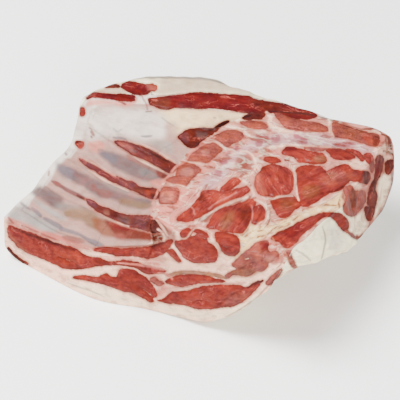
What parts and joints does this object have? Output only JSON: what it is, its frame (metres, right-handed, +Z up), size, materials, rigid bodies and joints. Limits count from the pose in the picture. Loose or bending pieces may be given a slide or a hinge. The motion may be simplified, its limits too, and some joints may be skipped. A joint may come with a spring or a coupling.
{
  "type": "raw lamb shoulder",
  "caption": "Raw lamb shoulder on the bone with its neck, sawn along the spine and lying on its fat side, so the rib-lined hollow and the cut muscles face up.",
  "frame": {"origin": "on the surface it lies on, under the middle of the footprint", "axes": "+X towards the neck, +Y away from the cut made between the ribs, +Z up"},
  "size_m": [0.3316, 0.2762, 0.1126],
  "materials": {
    "raw_meat": "moist, satin"
  },
  "bodies": {
    "root": {"lamb_shoulder": "raw_meat"}
  },
  "joints": []
}
